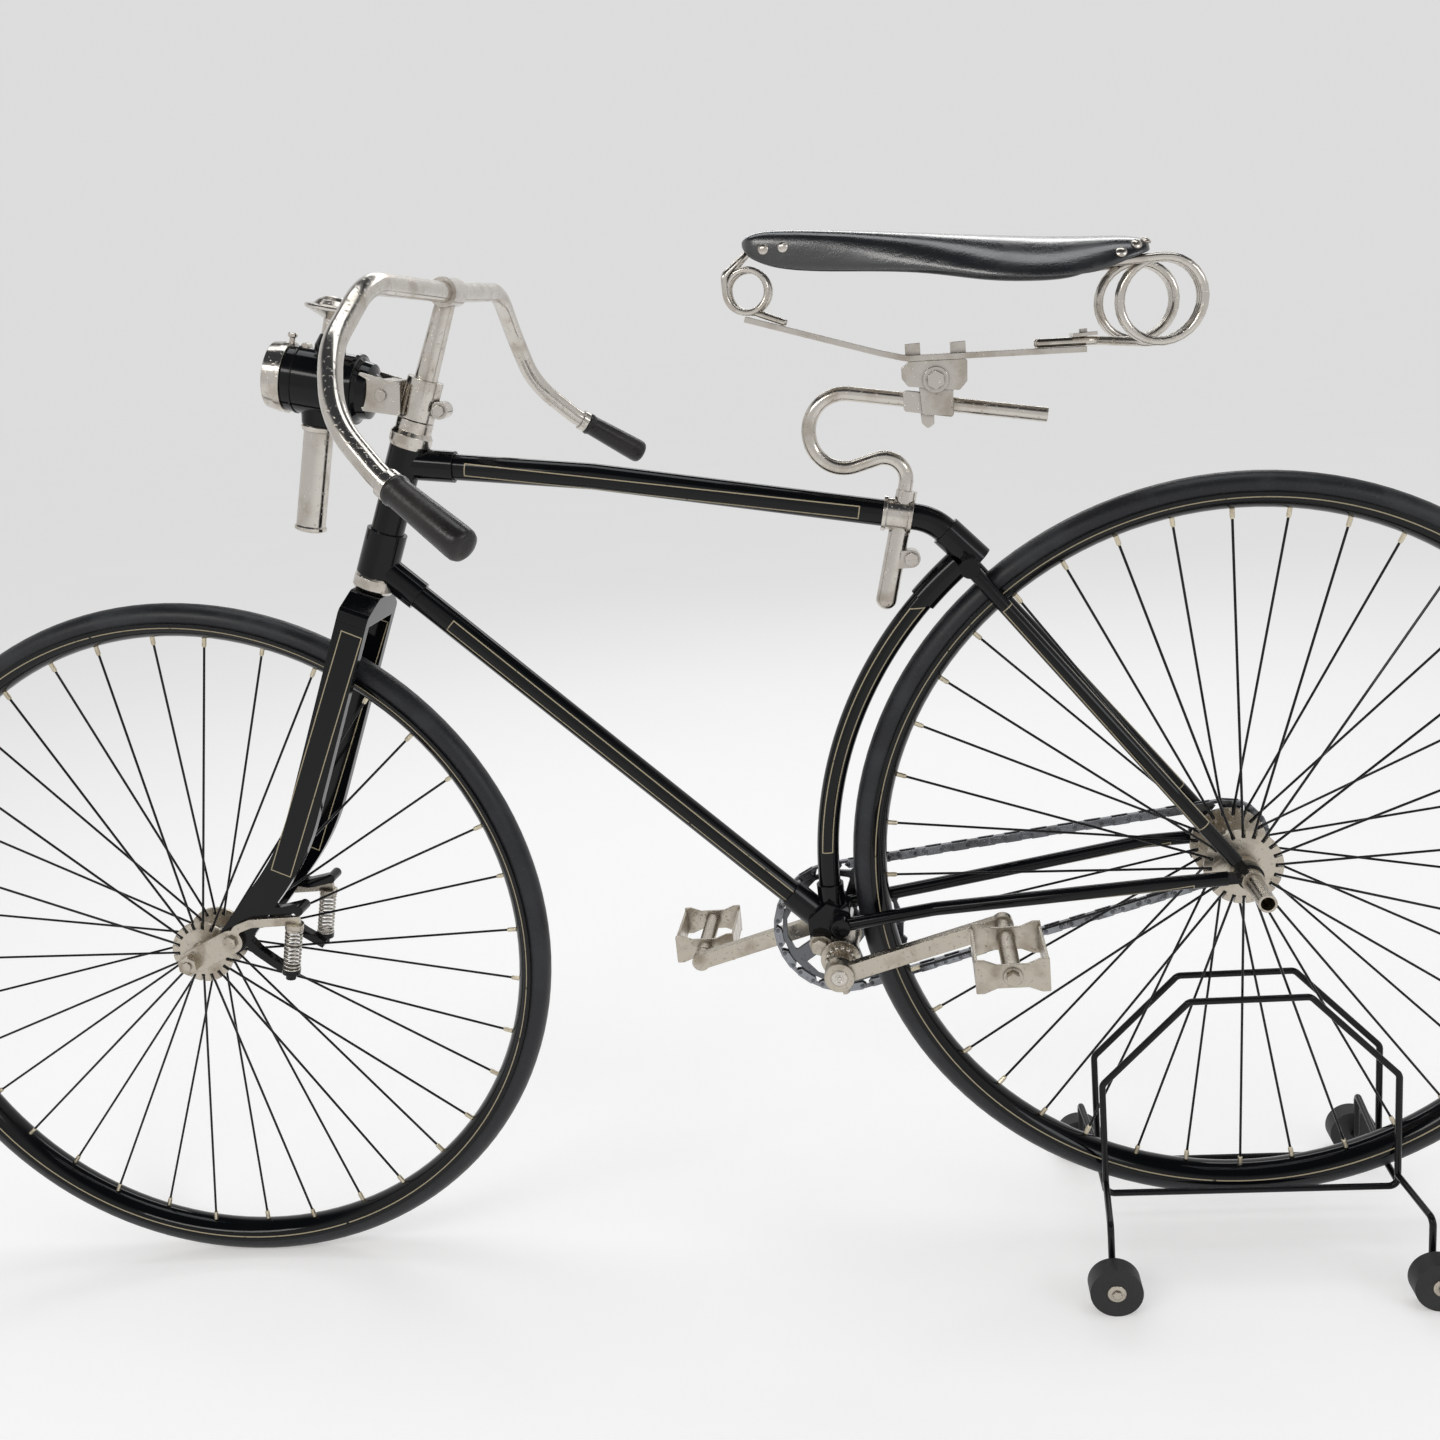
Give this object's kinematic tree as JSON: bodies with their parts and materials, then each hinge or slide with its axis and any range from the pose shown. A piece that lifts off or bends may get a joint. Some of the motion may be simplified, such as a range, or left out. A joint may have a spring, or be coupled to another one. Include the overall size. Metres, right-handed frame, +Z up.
{
  "type": "safety bicycle on a display stand",
  "caption": "Antique chain-driven safety bicycle with equal wire wheels, sprung fork, leather saddle and candle lamp, its rear wheel held in a wheeled wire display stand.",
  "frame": {"origin": "on the floor under the middle of the bounding box, midway between the wheel hubs", "axes": "+X towards the rear of the bicycle, +Y towards its right (chain) side, +Z up"},
  "size_m": [1.7301, 0.7686, 0.99],
  "materials": {
    "black_enamel": "gloss black enamel, aged, with fine gold lining",
    "nickel": "old nickel plate, slightly dull",
    "dull_nickel": "worn and stained nickel plate",
    "oiled_steel": "dark oiled steel",
    "tyre_rubber": "worn black rubber",
    "saddle_leather": "polished black leather",
    "grip": "black grips",
    "lamp_glass": "clear glass",
    "stand_rubber": "black rubber"
  },
  "bodies": {
    "frame": {"head_tube": "black_enamel", "head_lugs": "black_enamel", "headset_rings": "nickel", "top_tube": "black_enamel", "down_tube": "black_enamel", "seat_tube": "black_enamel", "seat_stays": "black_enamel", "chain_stays": "black_enamel", "bracket_lug": "black_enamel", "junction_lug": "black_enamel", "crank_bracket": "dull_nickel", "rear_axle": "dull_nickel", "mounting_step": "dull_nickel", "seat_socket": "nickel", "seat_pillar": "nickel", "saddle_clamp": "nickel", "saddle_leaf": "nickel", "saddle_clip": "nickel", "saddle_front_coils": "nickel", "saddle_rear_coils": "nickel", "saddle_leather": "saddle_leather", "saddle_cantle": "dull_nickel", "saddle_nose": "dull_nickel", "chain": "oiled_steel", "stand_hoops": "black_enamel", "stand_cross_rods": "black_enamel", "stand_legs": "black_enamel"},
    "steering": {"fork_crown": "black_enamel", "fork_blades": "black_enamel", "spring_links": "dull_nickel", "fork_springs": "nickel", "front_axle": "dull_nickel", "head_clamp": "nickel", "stem": "nickel", "handlebar": "nickel", "grips": "grip", "lamp_body": "black_enamel", "lamp_ring": "nickel", "lamp_glass": "lamp_glass", "lamp_chimney": "nickel", "lamp_candle_tube": "nickel", "lamp_bracket": "nickel"},
    "front_wheel": {"front_tyre": "tyre_rubber", "front_rim": "black_enamel", "front_spokes": "black_enamel", "front_hub": "dull_nickel"},
    "rear_wheel": {"rear_tyre": "tyre_rubber", "rear_rim": "black_enamel", "rear_spokes": "black_enamel", "rear_hub": "dull_nickel", "rear_sprocket": "oiled_steel"},
    "crank": {"crank_axle": "dull_nickel", "chainring": "oiled_steel", "crank_arms": "dull_nickel"},
    "left_pedal": {"pedal_left": "dull_nickel"},
    "right_pedal": {"pedal_right": "dull_nickel"},
    "small_wheel_front_left": {"stand_wheel_front_left": "stand_rubber"},
    "small_wheel_front_right": {"stand_wheel_front_right": "stand_rubber"},
    "small_wheel_rear_left": {"stand_wheel_rear_left": "stand_rubber"},
    "small_wheel_rear_right": {"stand_wheel_rear_right": "stand_rubber"}
  },
  "joints": [
    {"name": "steering_turn", "type": "hinge", "parent": "frame", "child": "steering", "pos_m": [-0.276, 0, 0.713], "axis": [0.3987, 0, 0.9171], "range_deg": [-45, 45]},
    {"name": "front_wheel_spin", "type": "hinge", "parent": "steering", "child": "front_wheel", "pos_m": [-0.5095, 0, 0.3556], "axis": [0, 1, 0], "continuous": true},
    {"name": "rear_wheel_spin", "type": "hinge", "parent": "frame", "child": "rear_wheel", "pos_m": [0.5095, 0, 0.3923], "axis": [0, 1, 0], "continuous": true},
    {"name": "crank_spin", "type": "hinge", "parent": "frame", "child": "crank", "pos_m": [0.13656, 0, 0.32201], "axis": [0, 1, 0], "continuous": true},
    {"name": "left_pedal_spin", "type": "hinge", "parent": "crank", "child": "left_pedal", "pos_m": [0.2886, 0, 0.36504], "axis": [0, 1, 0], "continuous": true},
    {"name": "right_pedal_spin", "type": "hinge", "parent": "crank", "child": "right_pedal", "pos_m": [-0.01546, 0, 0.27899], "axis": [0, 1, 0], "continuous": true},
    {"name": "small_wheel_front_left_spin", "type": "hinge", "parent": "frame", "child": "small_wheel_front_left", "pos_m": [0.3695, 0, 0.024], "axis": [0, 1, 0], "continuous": true},
    {"name": "small_wheel_front_right_spin", "type": "hinge", "parent": "frame", "child": "small_wheel_front_right", "pos_m": [0.3695, 0, 0.024], "axis": [0, 1, 0], "continuous": true},
    {"name": "small_wheel_rear_left_spin", "type": "hinge", "parent": "frame", "child": "small_wheel_rear_left", "pos_m": [0.6535, 0, 0.024], "axis": [0, 1, 0], "continuous": true},
    {"name": "small_wheel_rear_right_spin", "type": "hinge", "parent": "frame", "child": "small_wheel_rear_right", "pos_m": [0.6535, 0, 0.024], "axis": [0, 1, 0], "continuous": true}
  ],
  "couplings": [
    {"joint": "crank_spin", "follows": "rear_wheel_spin", "ratio": 0.5625}
  ]
}
